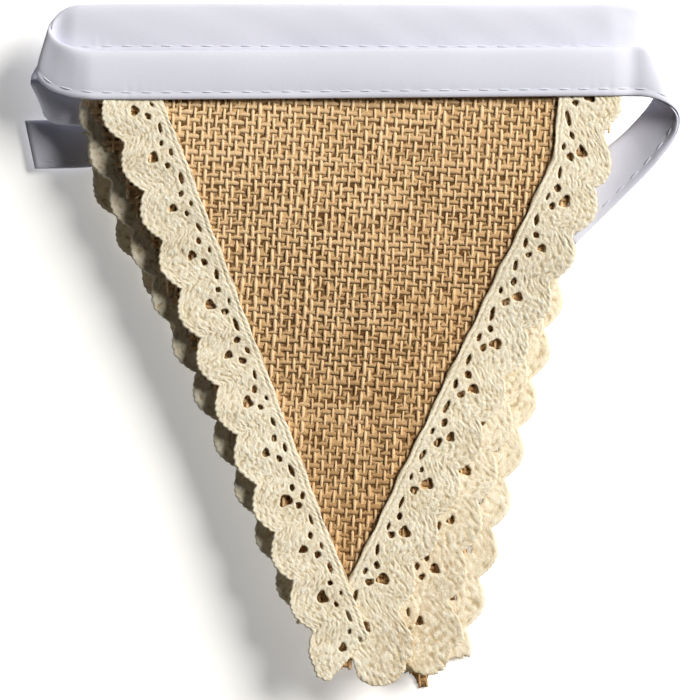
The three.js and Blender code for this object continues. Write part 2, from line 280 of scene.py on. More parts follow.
def weave(level, samples, sides):
    """The open plain weave of one pennant: warp down it, weft across it."""
    strands = Strands()
    warps = int(CORNER_HALF / WARP_PITCH) + SPARE_WARPS
    wefts = int(TIP / WEFT_PITCH) + SPARE_WEFTS
    lift = LOWEST_LIFT if level == LOWEST else 0.0
    for i in range(-warps, warps + 1):
        count = np.arange(WARP_START * samples, wefts * samples + 1) / samples
        drift = chance.normal(0, WARP_DRIFT)
        v = count * WEFT_PITCH + WEFT_LEAN * i * WARP_PITCH
        u = i * WARP_PITCH + WARP_LEAN * v + drift + sway(v, WARP_SWAY)
        over = np.cos(math.pi * (count + i))
        height = hessian_height(level, v) + lift + WARP_PROUD + WARP_RISE * over
        kind = (WARP_PAINTED_LIGHT, WARP_SHADES, WARP_SLUB, TIP_FRAY)
        yarn(strands, level, u, v, height, WARP_WIDE, WARP_THICK, sides, *kind)
    for j in range(WEFT_START, wefts + 1):
        count = np.arange(-warps * samples, warps * samples + 1) / samples
        drift = chance.normal(0, WEFT_DRIFT)
        u = count * WARP_PITCH + WARP_LEAN * j * WEFT_PITCH
        v = j * WEFT_PITCH + WEFT_LEAN * u + drift + sway(u, WEFT_SWAY)
        under = np.cos(math.pi * (count + j))
        height = hessian_height(level, v) + lift - WEFT_RISE * under
        wide = WEFT_WIDE * (1 + WEFT_PINCH * under)
        kind = (WEFT_PAINTED_SHADE, WEFT_SHADES, WEFT_SLUB, 0.0)
        yarn(strands, level, u, v, height, wide, WEFT_THICK, sides, *kind)
    return strands


def stray_fibres(strands, level, number):
    """Loose jute fibres that curl out of the cut edges."""
    for _ in range(number):
        v = chance.uniform(*FIBRE_PLACE)
        side = chance.choice((-1, 1))
        u = side * (RAW_HALF - v * TAN + chance.uniform(*FIBRE_ROOT))
        run = np.linspace(0, chance.uniform(*FIBRE_LENGTH), FIBRE_POINTS)
        step = run[1] - run[0]
        heading = chance.uniform(*FIBRE_HEADING)
        angle = heading + chance.normal(0, FIBRE_BEND) * run
        reach_u = u + side * np.cumsum(np.cos(angle)) * step
        reach_v = v + np.cumsum(np.sin(angle)) * step
        root = hessian_height(level, v) + np.abs(chance.normal(0, FIBRE_UP))
        height = np.maximum(root + chance.uniform(*FIBRE_CLIMB) * run, FIBRE_LEAST_UP)
        path = on_pennant(level, reach_u, reach_v, height)
        strands.add(path, FIBRE_HALF, FIBRE_HALF, 3, chance.normal(0.8, 1))


def ground_sheet(level):
    """The pennant's cut triangle of cloth, on which the raised weave lies; its darker places are painted
    shade for the holes of the weave.
    """
    v = np.linspace(GROUND_FROM, GROUND_TO, GROUND_COLUMNS + 1)[:, None] + np.zeros((1, GROUND_ROWS + 1))
    half = np.minimum(RAW_HALF - v * TAN, CORNER_HALF) - GROUND_INSET
    u = half * np.linspace(-1, 1, GROUND_ROWS + 1)[None, :]
    middle = hessian_height(level, v) + GROUND_UP
    lower = on_pennant(level, u, v, middle - GROUND_THICK / 2).reshape(-1, 3)
    upper = on_pennant(level, u, v, middle + GROUND_THICK / 2).reshape(-1, 3)
    name = f"hessian_ground_{level + 1}"
    return closed_grid(name, lower, upper, GROUND_COLUMNS, GROUND_ROWS, not PENNANTS[level]["up"])


def closed_grid(name, lower, upper, columns, rows, mirrored):
    """A thin closed sheet between two grids of points."""
    stride = rows + 1
    total = (columns + 1) * stride
    i, j = np.meshgrid(np.arange(columns), np.arange(rows), indexing="ij")
    corner = (i * stride + j).ravel()
    under = np.stack([corner, corner + stride, corner + stride + 1, corner + 1], axis=1)
    over = total + under[:, ::-1]
    rim = [n * stride for n in range(columns + 1)]
    rim += [columns * stride + n for n in range(1, rows + 1)]
    rim += [n * stride + rows for n in range(columns - 1, -1, -1)]
    rim += [n for n in range(rows - 1, 0, -1)]
    ring = np.array(rim)
    following = np.roll(ring, -1)
    walls = np.stack([following, ring, ring + total, following + total], axis=1)
    faces = np.concatenate([under, over, walls])
    if not mirrored:
        faces = faces[:, ::-1]
    return mesh_piece(name, np.concatenate([lower, upper]), faces.tolist())


class Wire:
    """One socket of a material, so that shader sums read as plain arithmetic."""

    def __init__(self, tree, socket=None):
        self.tree, self.socket = tree, socket

    def node(self, kind, inputs=None, settings=None, output=0):
        """Adds any other node, with its settings set before its sockets are filled."""
        made = self.tree.nodes.new("ShaderNode" + kind)
        for key, value in (settings or {}).items():
            if key == "stops":
                ramp = made.color_ramp
                while len(ramp.elements) < len(value):
                    ramp.elements.new(0.5)
                for element, (position, colour) in zip(ramp.elements, value):
                    element.position = position
                    element.color = (*colour, 1)
            else:
                setattr(made, key, value)
        for key, value in (inputs or {}).items():
            if isinstance(value, Wire):
                self.tree.links.new(value.socket, made.inputs[key])
            elif isinstance(value, tuple) and len(value) == 3 and made.inputs[key].type == "RGBA":
                made.inputs[key].default_value = (*value, 1)
            else:
                made.inputs[key].default_value = value
        return Wire(self.tree, made.outputs[output] if made.outputs else None)

    def math(self, operation, first, second):
        """One sum on two values."""
        return self.node("Math", {0: first, 1: second}, {"operation": operation})

    def __add__(self, other):
        return self.math("ADD", self, other)

    def __radd__(self, other):
        return self.math("ADD", other, self)

    def __sub__(self, other):
        return self.math("SUBTRACT", self, other)

    def __rsub__(self, other):
        return self.math("SUBTRACT", other, self)

    def __mul__(self, other):
        return self.math("MULTIPLY", self, other)

    def __rmul__(self, other):
        return self.math("MULTIPLY", other, self)

    def blend(self, first, second):
        """Mixes two colours by this wire."""
        inputs = {0: self, 6: first, 7: second}
        return self.node("Mix", inputs, {"data_type": "RGBA", "clamp_factor": True}, 2)


def new_material(name):
    """An empty material, and a wire to build it with."""
    material = bpy.data.materials.new(name)
    material.use_nodes = True
    material.node_tree.nodes.clear()
    return material, Wire(material.node_tree)


def colour(red, green, blue):
    """A colour given in the usual 0 to 255 steps, made linear."""
    steps = [value / 255 for value in (red, green, blue)]
    return tuple(s / 12.92 if s <= 0.04045 else ((s + 0.055) / 1.055) ** 2.4 for s in steps)


def noise(where, scale, detail, roughness=0.5):
    """Cloudy noise over the places that this wire gives."""
    inputs = {"Vector": where, "Scale": scale, "Detail": detail, "Roughness": roughness}
    return where.node("TexNoise", inputs)


def finish_cloth(wire, base, height, strength, distance, roughness, sheen, tint):
    """Ends a cloth material: a rough, slightly fuzzy surface over a bump."""
    bump = wire.node("Bump", {"Height": height, "Strength": strength, "Distance": distance})
    inputs = {
        "Base Color": base,
        "Roughness": roughness,
        "Normal": bump,
        "Sheen Weight": sheen,
        "Sheen Roughness": 0.6,
        "Sheen Tint": tint,
        "Specular IOR Level": 0.25,
    }
    surface = wire.node("BsdfPrincipled", inputs)
    wire.node("OutputMaterial", {"Surface": surface})


def jute_yarn():
    """Golden jute, varying from yarn to yarn and along its fibres, over the painted light and shade that its
    tone carries.
    """
    material, wire = new_material("jute_yarn")
    place_at = wire.node("TexCoord", output="Object")
    tone = wire.node("Attribute", settings={"attribute_name": "tone"}, output="Fac")
    patches = noise(place_at, 95.0, 3.0)
    fibres = noise(place_at, 2600.0, 2.0)
    pale_way = (-2.0, 3.0, 0.0)  # a plain colour gradient: the cloth is paler towards the left and the tape
    paler_left_and_tape = wire.node("VectorMath", {0: place_at, 1: pale_way}, {"operation": "DOT_PRODUCT"}, "Value")
    shade = tone * 0.12 + 0.5 + (patches - 0.5) * 0.55 + (fibres - 0.5) * 0.7 + paler_left_and_tape
    stops = ((0.12, colour(178, 140, 95)), (0.5, colour(226, 191, 145)), (0.85, colour(243, 214, 173)))
    base = wire.node("ValToRGB", {"Fac": shade}, {"stops": stops})
    straw = colour(255, 226, 180)
    finish_cloth(wire, base, fibres, strength=0.7, distance=0.0003, roughness=0.85, sheen=0.15, tint=straw)
    return material


def jute_ground_and_shade():
    """The cloth between the raised yarns: fluff, and painted shade in its open places, where the holes of
    the weave would be dark.
    """
    material, wire = new_material("jute_ground_and_shade")
    place_at = wire.node("TexCoord", output="Object")
    fluff = noise(place_at, 1500.0, 3.0)
    painted_hole_shade = noise(place_at, 430.0, 1.0)
    cover = painted_hole_shade * 0.8 + fluff * 0.2
    filled = wire.node("MapRange", {"Value": cover, "From Min": 0.42, "From Max": 0.58})
    # Painted shade: the open places take a dark brown that stands in for the shade in the weave's holes
    base = filled.blend(colour(112, 78, 40), colour(226, 186, 134))
    straw = colour(255, 226, 180)
    finish_cloth(wire, base, fluff, strength=0.6, distance=0.0004, roughness=0.95, sheen=0.0, tint=straw)
    return material


yarn_finish = jute_yarn()
ground_and_shade_finish = jute_ground_and_shade()
# Points of a yarn from one crossing to the next, its sides, and the number of stray fibres
TOP_DETAIL = (3, 5, 80)
LOWER_DETAIL = (2, 4, 30)

for level in range(LOWEST + 1):
    node = f"hessian_{level + 1}"
    samples, sides, fibres = LOWER_DETAIL if level else TOP_DETAIL
    strands = weave(level, samples, sides)
    stray_fibres(strands, level, fibres)
    cloth = strands.piece(f"hessian_weave_{level + 1}")
    cloth.data.materials.append(yarn_finish)
    ground = ground_sheet(level)
    ground.data.materials.append(ground_and_shade_finish)
    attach(ground, "root")
    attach(cloth, "root")
    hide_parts(node)


# ---------------------------------------------------------------------------------------------
# The cotton lace. Ten lengths of cream cluny edging, close-stitched from soft twisted thread, with
# a corded heading and an eyelet in every scallop, sewn along both edges of each pennant.
# ---------------------------------------------------------------------------------------------

LACE_WIDTH = 19.5
LACE_LEAD, LACE_REACH = 12.0, 210.0  # length laid up into the tape and down from it, before trimming
SCALLOP_PITCH = 16.1
SCALLOP_DEPTH = 3.8
SCALLOP_START = {-1: 3.4, 1: 12.3}  # middle of the first scallop, on the left and the right lace
LOOP_PITCH, LOOP_HIGH = 2.05, 0.5  # the small loops of thread along the scallops

# How far the left and the right lace of each pennant wander outwards, at these places along them
WANDER_AT = (0, 18, 165, 189)
WANDER = (
    ((-2.6, -2.4, 1.0, 1.0), (-5, 1.8, 0.9, 5.5)),
    ((-3, 0, 0, 0), (-9, 0.5, 0, 0)),
    ((0, 0.5, 0, 3), (-2, 0, 0.5, 0.5)),
    ((-1, 0, 0, 0), (-1, 0, 0, 0)),
    ((-2, 0, 0, 0), (-3, 0.5, 3.5, 3.5)),
)
# Where the left and the right lace of each pennant are cut off, how the cut slants, and how far past
# the other side's heading the lace still reaches
LACE_ENDS = (
    ((174, 1.2, 14), (190, 0, 9)),
    ((176, 0, 9), (176, 0, 9)),
    ((176, 0, 9), (190, 0, 14)),
    ((176, 0, 9), (176, 0, 9)),
    ((170, 0, 9), (168, 0, 9)),
)
# Three laces are drawn round at the tip: where along the lace its last scallops begin to widen, how
# wide they get, and the round end's middle (u, v) and radius
ROUND_ENDS = {
    (0, -1): (174.0, 19.8, -4.5, 171.9, 7.9),
    (0, 1): (161.0, 25.8, 10.2, 172.4, 8.7),
    (2, 1): (164.0, 24.5, 5.2, 172.6, 7.2),
}
WIDENING = 12  # the length over which they widen
END_LOBES, END_LOBE_HIGH = 7, 0.3  # the small waves round the end

# The holes round each scallop's middle, the eyelet first: how far along, how far out from the
# heading, half the length, half the width, the turn in degrees, and how three-cornered the hole is
HOLES = (
    (0.0, 9.2, 1.55, 1.5, 8, 0.14),
    (-3.2, 5.5, 0.95, 0.75, 20, 0.0),
    (0.6, 3.5, 1.10, 0.52, 6, 0.0),
    (3.1, 6.0, 1.05, 0.85, -25, 0.1),
    (8.4, 3.9, 1.75, 0.55, 8, 0.0),
)
HOLE_GROWTH = {-1: (0.98, 0.90), 1: (0.96, 1.06)}  # of the eyelet and the others, on each lace
HOLE_SHIFTS, HOLE_TURNS, HOLE_SPREAD = (0.9, 0.6), 0.5, 0.5  # how unlike each other the holes are
FAR = 99.0  # farther than anything on the lace

KNOT_LONG, KNOT_WIDE = 1.65, 1.0  # spacing of the thread knots along and across the lace
KNOT_LEAN, KNOT_SWING = math.radians(25), math.radians(75)  # lean of the knots, and its spread
KNOT_HALF_LONG, KNOT_HALF_WIDE = (0.85, 0.7), (0.46, 0.28)  # half their size, and how much that grows
FINE_STEP = 0.45  # on a coarser grid of points the knots are made larger
CORD_LINES = (0.72, 2.2)  # where the heading's two cords run, out from its edge
CORD_WIDE = 1.4
CORD_TWIST = 2.1
RIM_FROM, RIM_WIDE = 0.45, 0.42  # the wrapped ring round each hole
WRAP_PITCH = 1.15
OUTER_CORD_FROM, OUTER_CORD_WIDE = 0.6, 0.5  # the cord along the scallops' edge
THIN, THREAD = 0.08, 0.42  # half the thickness in a crease, and what a thread adds to it
EDGE_ROUND, EDGE_THIN = 0.55, 0.35  # how far in from its edges the lace is rounded, and to what share


def lace_to_pennant(level, side, s, t):
    """From along and across the lace to the pennant's u and v."""
    outward = t + np.interp(s, WANDER_AT, WANDER[level][0 if side < 0 else 1])
    return side * (HEADING_HALF - s * SIN + outward * COS), s * COS + outward * SIN


def scallop(level, side, s):
    """How wide the lace is, with the small loops of thread along its edge."""
    turn = (s - SCALLOP_START[side]) / SCALLOP_PITCH
    part = np.abs(turn - np.round(turn)) * 2
    width = LACE_WIDTH - SCALLOP_DEPTH * part ** 1.8
    if (level, side) in ROUND_ENDS:
        begin, full = ROUND_ENDS[level, side][:2]
        width = width + (full - width) * smooth(s, begin, begin + WIDENING)
    return width + LOOP_HIGH * edge_loops(s) - LOOP_HIGH / 2


def edge_loops(s):
    """The uneven small loops along the scallops, 0 between two and 1 on top of one."""
    return np.abs(np.sin(math.pi * s / LOOP_PITCH + 1.1 * np.sin(s / 3.3) + 0.5 * np.sin(s / 1.3)))


def hash_noise(a, b, salt):
    """A fixed random number from 0 to 1 for each whole-number pair."""
    value = np.sin(a * 127.1 + b * 311.7 + salt * 74.7) * 43758.5453
    return value - np.floor(value)


def hole_distance(side, salt, s, t):
    """Distance from the nearest hole's rim, below nought inside a hole."""
    repeat = np.round((s - SCALLOP_START[side]) / SCALLOP_PITCH)
    nearest = np.full(s.shape, FAR)
    for neighbour in (-1, 0, 1):
        number = repeat + neighbour
        middle = SCALLOP_START[side] + number * SCALLOP_PITCH
        for index, (along, out, long, wide, turn, corners) in enumerate(HOLES):
            jig = [hash_noise(number, index * 4.0 + k, salt) - 0.5 for k in range(4)]
            x = s - middle - along - HOLE_SHIFTS[0] * jig[0]
            y = t - out - HOLE_SHIFTS[1] * jig[1]
            angle = math.radians(turn) + HOLE_TURNS * jig[2]
            size = HOLE_GROWTH[side][min(index, 1)] * (1 + HOLE_SPREAD * jig[3])
            a = (x * np.cos(angle) + y * np.sin(angle)) / (long * size)
            b = (y * np.cos(angle) - x * np.sin(angle)) / (wide * size)
            spin = np.arctan2(b, a)
            uneven = 0.10 * np.sin(2 * spin + 12 * jig[1]) + 0.06 * np.sin(4 * spin + 12 * jig[0])
            reach = np.sqrt(a * a + b * b) * (1 + corners * np.cos(3 * spin) + uneven)
            nearest = np.minimum(nearest, (reach - 1) * wide * size)
    return nearest


def kept_distance(level, side, salt, s, t):
    """Distance in from the trimmed edges and from the holes, below nought where there is no lace."""
    u, v = lace_to_pennant(level, side, s, t)
    out = side * u
    end, slant, trim = LACE_ENDS[level][0 if side < 0 else 1]
    across = (out + HEADING_HALF + trim / COS - v * TAN) * COS
    ragged = 0.25 * np.sin(u * 2.1) + 0.15 * np.sin(u * 5.3)
    edge = np.minimum(np.minimum(v + SEAM, end + slant * out + ragged - v), across + ragged)
    edge = np.minimum(edge, np.where(v < 1, CORNER_HALF - out, FAR))
    if (level, side) in ROUND_ENDS:
        middle_u, middle_v, radius = ROUND_ENDS[level, side][2:]
        below = np.maximum(v - middle_v, 0)
        lobes = np.abs(np.sin(np.arctan2(u - middle_u, below + 0.1) * END_LOBES))
        reach = radius + 2 * np.maximum(middle_v - v, 0) + END_LOBE_HIGH * lobes
        edge = np.minimum(edge, reach - np.hypot(u - middle_u, below))
    return edge, hole_distance(side, salt, s, t)


def knots(s, w, salt, size):
    """The stitched ground: soft knots of thread of every lean and length, 0 in the creases, 1 on top."""
    along = (s + 0.6 * np.sin(w / 2.1 + s / 5.3 + salt)) / size
    across = (w + 0.4 * np.sin(s / 3.1 + salt)) / size
    column, row = np.floor(along / KNOT_LONG), np.floor(across / KNOT_WIDE)
    relief = np.zeros(s.shape)
    for down in (-2, -1, 0, 1, 2):
        for beside in (-1, 0, 1):
            a, b = column + beside, row + down
            jig = [hash_noise(a, b, salt + k) for k in range(6)]
            x = along - (a + 0.5 * np.mod(b, 2) + 0.2 + 0.6 * jig[0]) * KNOT_LONG
            y = across - (b + 0.2 + 0.6 * jig[1]) * KNOT_WIDE
            lean = KNOT_LEAN + KNOT_SWING * (jig[2] - 0.5)
            half_long = KNOT_HALF_LONG[0] + KNOT_HALF_LONG[1] * jig[3]
            half_wide = KNOT_HALF_WIDE[0] + KNOT_HALF_WIDE[1] * jig[4]
            long = (x * np.cos(lean) + y * np.sin(lean)) / half_long
            wide = (y * np.cos(lean) - x * np.sin(lean)) / half_wide
            dome = np.clip(1 - long * long - wide * wide, 0, 1) ** 0.6
            relief = np.maximum(relief, dome * (0.5 + 0.5 * jig[5]))
    return relief


def thread_relief(salt, s, t, width, rim, size):
    """How thick the lace is at each point, from 0 in a crease to 1 on a thread."""
    ground = knots(s, t / width * LACE_WIDTH, salt, size)
    sway = 0.16 * np.sin(s / 2.3) + 0.1 * np.sin(s * 1.1 + salt)
    share = smooth(t - sway, CORD_LINES[1], CORD_LINES[1] + CORD_WIDE / 2)
    relief = (0.1 + 0.9 * ground) * share
    for number, line in enumerate(CORD_LINES):
        away = np.abs(t - line - sway) / (CORD_WIDE / 2)
        round_cord = np.sqrt(np.clip(1 - np.minimum(away, 1) ** 2, 0, 1))
        twist = math.pi * (s + (t - line) * 1.6 + 0.5 * np.sin(s / 1.9 + salt)) / CORD_TWIST
        relief = np.maximum(relief, round_cord * (0.35 + 0.65 * np.abs(np.sin(twist + number))))
    ring = np.exp(-(((rim - RIM_FROM) / RIM_WIDE) ** 2))
    turns = np.abs(np.sin(math.pi * (s * 0.9 + t * 0.8) / WRAP_PITCH + salt))
    wrap = 0.35 + 0.5 * turns + 0.15 * np.sin(s * 2.3)
    relief = np.maximum(relief * (1 - 0.25 * ring), ring * wrap)
    outer_cord = np.exp(-(((width - t - OUTER_CORD_FROM) / OUTER_CORD_WIDE) ** 2))
    return np.maximum(relief, outer_cord * (0.4 + 0.5 * edge_loops(s)))


def lace_height(level, side, v):
    """Middle of a lace above its pennant's lowest face."""
    if PENNANTS[level]["up"]:
        return CLOTH + GAP + LACE / 2 + (lap(v) if side < 0 else 0 * v)
    return LACE / 2 + (lap(v) if side > 0 else 0 * v)


def outer_edges(faces):
    """Edges that only one face has, in that face's own direction."""
    start = faces.ravel()
    stop = np.roll(faces, -1, axis=1).ravel()
    low, high = np.minimum(start, stop), np.maximum(start, stop)
    _, index, count = np.unique(low * (high.max() + 1) + high, return_index=True, return_counts=True)
    lone = index[count == 1]
    return start[lone], stop[lone]


def snap_to_rims(kept, s, t, step):
    """Moves the points of a grid that lie near an edge or a hole's rim onto it."""
    tiny, flattest, reach = 0.02, 0.25, 0.55 * step
    for _ in range(2):
        here = kept(s, t)
        slope_s = (kept(s + tiny, t) - kept(s - tiny, t)) / (2 * tiny)
        slope_t = (kept(s, t + tiny) - kept(s, t - tiny)) / (2 * tiny)
        steep = np.maximum(slope_s ** 2 + slope_t ** 2, flattest)
        near = np.abs(here) < reach
        s = np.where(near, s - here * slope_s / steep, s)
        t = np.where(near, t - here * slope_t / steep, t)
    return s, t


def mark_strip(piece, along, across, salt):
    """Notes where each point lies along and across the unfolded strip, for its material to read."""
    strip = piece.data.attributes.new("strip", "FLOAT_VECTOR", "POINT")
    strip.data.foreach_set("vector", np.stack([along, across, salt], axis=1).astype(np.float32).ravel())


def lace_piece(level, side, step):
    """One length of lace as a closed, pierced sheet with its threads in relief."""
    faces_up = PENNANTS[level]["up"]
    salt = 3.0 * level + (1.0 if side > 0 else 2.0)
    columns = int(round((LACE_REACH + LACE_LEAD) / step))
    rows = int(round(LACE_WIDTH / step))
    along = -LACE_LEAD + np.arange(columns + 1) * step
    s = along[:, None] + np.zeros((1, rows + 1))
    t = scallop(level, side, s) * np.linspace(0, 1, rows + 1)[None, :]
    t = t + (0.24 * np.sin(s / 1.9 + salt) + 0.2 * np.sin(s / 5.3)) * np.clip(1 - t / 1.6, 0, 1)

    def kept(a, b):
        """Distance in from the nearest edge of any kind."""
        edge, rim = kept_distance(level, side, salt, a, b)
        return np.minimum(edge, rim)

    s, t = snap_to_rims(kept, s, t, step)
    here = kept(s, t).ravel()

    i, j = np.meshgrid(np.arange(columns), np.arange(rows), indexing="ij")
    corner = (i * (rows + 1) + j).ravel()
    quads = np.stack([corner, corner + rows + 1, corner + rows + 2, corner + 1], axis=1)
    inside = (here[quads].mean(axis=1) > 0.02) & (here[quads].max(axis=1) > 0.25 * step)
    used, quads = np.unique(quads[inside], return_inverse=True)
    quads = quads.reshape(-1, 4)

    s, t = s.ravel()[used], t.ravel()[used]
    u, v = lace_to_pennant(level, side, s, t)
    width = scallop(level, side, s)
    edge, rim = kept_distance(level, side, salt, s, t)
    relief = thread_relief(salt, s, t, width, rim, max(1.0, step / FINE_STEP))
    border = np.minimum(np.minimum(np.minimum(edge, rim), width - t), t + 0.1)
    rounding = np.sqrt(np.clip(1 - (1 - np.clip(border / EDGE_ROUND, 0, 1)) ** 2, 0, 1))
    half = (THIN + THREAD * relief) * (EDGE_THIN + (1 - EDGE_THIN) * rounding)
    curl = 0.14 * np.sin(s / 5.1 + salt) * smooth(t, 9, 19) + 0.12 * np.sin(s / 2.2 + t / 3 + salt)
    middle = lace_height(level, side, v) + curl
    top = on_pennant(level, u, v, middle + half)
    bottom = on_pennant(level, u, v, middle - half * 0.9)

    total = len(s)
    first, last = outer_edges(quads)
    walls = np.stack([last, first, first + total, last + total], axis=1)
    faces = np.concatenate([quads, total + quads[:, ::-1], walls])
    if (side > 0) != faces_up:
        faces = faces[:, ::-1]
    # Painted shade: the tone is darker in the creases between the threads and towards the rounded edges and
    # the rims of the holes
    tones = np.clip(relief, 0, 1) * (0.45 + 0.55 * rounding)
    name = f"lace_{'left' if side < 0 else 'right'}_{level + 1}"
    piece = mesh_piece(name + "_edging", np.concatenate([top, bottom]), faces.tolist(), np.tile(tones, 2))
    mark_strip(piece, np.tile(s, 2), np.tile(t, 2), np.full(2 * total, salt))
    piece.data.materials.append(lace_finish)
    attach(piece, "root")
    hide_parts(name)
    flat_length = (s.max() - s.min()) * MM
    kept_area = len(quads) * step * step * MM * MM


# Where damp has stained the lace: the place, how far the stain reaches, both in metres, and how
# strong it is
STAINS = (
    ((0.0240, -0.0880, 0.015), 0.022, 0.62),
    ((0.0130, -0.0960, 0.019), 0.012, 0.45),
    ((0.0350, -0.0640, 0.012), 0.020, 0.45),
    ((0.0400, -0.0300, 0.020), 0.012, 0.40),
    ((0.0330, -0.0480, 0.018), 0.010, 0.50),
    ((-0.0870, 0.0700, 0.012), 0.010, 0.50),
)


def cotton_lace():
    """Cream cotton with painted shade in the creases between its threads, and stains."""
    material, wire = new_material("cotton_lace")
    strip = wire.node("Attribute", settings={"attribute_name": "strip"}, output="Vector")
    relief = wire.node("Attribute", settings={"attribute_name": "tone"}, output="Fac")
    place_at = wire.node("TexCoord", output="Object")
    ply = noise(strip, 1.9, 4.0, 0.65)
    cloud = noise(place_at, 70.0, 2.0)
    # painted shade: the relief darkens the cream in the creases
    shade = relief * 0.85 + (ply - 0.5) * 0.55 + (cloud - 0.5) * 0.35 + 0.10
    stops = (
        (0.05, colour(176, 154, 118)),
        (0.35, colour(226, 211, 180)),
        (0.62, colour(245, 235, 211)),
        (0.95, colour(255, 250, 234)),
    )
    base = wire.node("ValToRGB", {"Fac": shade}, {"stops": stops})
    patches = noise(place_at, 480.0, 4.0, 0.65)
    uneven = patches * 0.8 + cloud * 0.2
    blots = wire.node("MapRange", {"Value": uneven, "From Min": 0.44, "From Max": 0.59})
    for spot, reach, depth in STAINS:
        away = wire.node("VectorMath", {0: place_at, 1: spot}, {"operation": "DISTANCE"}, "Value")
        fading = {"Value": away, "From Min": reach, "From Max": reach * 0.2, "To Max": depth}
        base = (wire.node("MapRange", fading) * blots).blend(base, colour(184, 152, 104))
    cream = colour(255, 250, 236)
    finish_cloth(wire, base, ply, strength=0.8, distance=0.0003, roughness=0.82, sheen=0.12, tint=cream)
    return material


lace_finish = cotton_lace()
# Spacing of the points on the left and the right lace of each pennant, least where most is seen
GRID_STEPS = ((0.36, 0.36), (0.68, 0.54), (0.68, 0.54), (0.8, 0.74), (0.8, 0.74))
for level, (left_step, right_step) in enumerate(GRID_STEPS):
    lace_piece(level, -1, left_step)
    lace_piece(level, 1, right_step)


# ---------------------------------------------------------------------------------------------
# The binding tape. One long strip of white cotton folded along its middle over the pennants' top
# edges, with its own edges turned under, and laid back and forth from pennant to pennant.
# ---------------------------------------------------------------------------------------------

TAPE_WIDTH = 15.4
EDGE = TAPE_WIDTH / 2
TAPE_LEAF = 0.55  # thickness of one leaf
HELD, BARE = 3.0, 0.3  # room between the leaves where they hold a pennant, and elsewhere
STATION_STEP = 1.5
PUCKER_WIDE = 2.4  # how far the stitching puckers the tape on either side
STITCH_LINE = -5.5  # from the middle of the tape towards its open edge
STITCH_PITCH = 6.1
STITCH_LENGTH, STITCH_SPREAD = 4.4, 0.25
STITCH_FIRST, STITCH_LAST = 2.0, 6.0  # from the tape's two ends
STITCH_STAGGER = 2.9  # between the stitches on the tape's two faces
STITCH_ARCH = (-0.32, -0.02, 0.10, 0.13, 0.10, -0.02, -0.32)  # height of one stitch along itself
STITCH_SWELL = (0.5, 0.9, 1, 1, 1, 0.9, 0.5)
THREAD_HALF = 0.21

# x, y, how many passes down, the turn of the width in degrees, its rise, and the room between leaves
TAPE_ROUTE = (
    (64.5, 36.3, 1.3, 137, 0, BARE),
    (71.5, 43.3, 1.3, 137, -2, BARE),
    (80.3, 51.8, 1.25, 137, -14, BARE),
    (91.5, 62.6, 1.1, 135, -32, BARE),
    (98.4, 72.2, 0.75, 122, -38, BARE),
    (98.6, 79.5, 0.22, 106, -20, BARE),
    (93.2, 83.9, -0.1, 95, -4, BARE),
    (87.2, 84.7, 0.2, 90.5, 0, HELD),
    (82, 84.6, 0, 90.5, 0, HELD),
    (-70, 83.2, 0, 90.5, 0, HELD),
    (-80, 83.4, 0, 88, 0, HELD),
    (-86.5, 84.5, 0.07, 84, 0, BARE),
    (-91.5, 87, 0.42, 79, 0, BARE),
    (-93.9, 90.8, 0.68, 75, 0, BARE),
    (-90.2, 95.5, 0.94, 80, 0, BARE),
    (-85, 97.4, 1, 87, 0, HELD),
    (-80, 97.7, 1, 90, 0, HELD),
    (72, 98.0, 1, 90, 0, HELD),
    (82, 98.1, 1, 92, 0, HELD),
    (91, 97.0, 1.12, 96, 0, BARE),
    (94.5, 95.2, 1.5, 100, 0, BARE),
    (91, 93.6, 1.88, 98, 0, BARE),
    (81, 92.78, 2, 96.4, 0, HELD),
    (72, 91.77, 2, 96.4, 0, HELD),
    (-74, 75.4, 2, 96.4, 0, HELD),
    (-82, 75.6, 2, 96.4, 0, HELD),
    (-90.6, 76.3, 2.1, 100, 10, BARE),
    (-95.5, 76.7, 2.5, 113, 40, BARE),
    (-92.2, 82.8, 2.9, 100, 12, BARE),
    (-82, 87.77, 3, 92, 0, HELD),
    (-74, 88.05, 3, 92, 0, HELD),
    (76, 93.29, 3, 92, 0, HELD),
    (84, 93.5, 3, 93, 0, HELD),
    (90, 92.6, 3.15, 98, 0, BARE),
    (92.5, 90.8, 3.5, 102, 0, BARE),
    (90, 88.6, 3.85, 102, 0, BARE),
    (82, 86.54, 4, 98, 0, HELD),
    (74, 85.42, 4, 98, 0, HELD),
    (-74, 64.62, 4, 98, 0, HELD),
    (-82, 63.5, 4, 97, 0, HELD),
    (-98.9, 62.9, 4, 102, 0, BARE),
)


def smooth_route(rows):
    """One smooth line through the stations, as points and the station number of each."""
    knots = np.array([(row[0], row[1], pass_height(row[2])) for row in rows])
    knots = np.concatenate([[2 * knots[0] - knots[1]], knots, [2 * knots[-1] - knots[-2]]])
    points, numbers = [], []
    for n in range(1, len(knots) - 2):
        p0, p1, p2, p3 = knots[n - 1 : n + 3]
        gaps = [math.sqrt(np.linalg.norm(b - a)) for a, b in ((p0, p1), (p1, p2), (p2, p3))]
        t1 = ((p1 - p0) / gaps[0] - (p2 - p0) / (gaps[0] + gaps[1]) + (p2 - p1) / gaps[1]) * gaps[1]
        t2 = ((p2 - p1) / gaps[1] - (p3 - p1) / (gaps[1] + gaps[2]) + (p3 - p2) / gaps[2]) * gaps[1]
        count = max(2, int(np.linalg.norm(p2 - p1) / STATION_STEP))
        k = (np.arange(count) / count)[:, None]
        curve = p1 + t1 * k + (3 * p2 - 3 * p1 - 2 * t1 - t2) * k ** 2 + (2 * p1 - 2 * p2 + t1 + t2) * k ** 3
        points.append(curve)
        numbers.append(n - 1 + k[:, 0])
    points.append(knots[-2:-1])
    numbers.append([len(rows) - 1.0])
    return np.concatenate(points), np.concatenate(numbers)


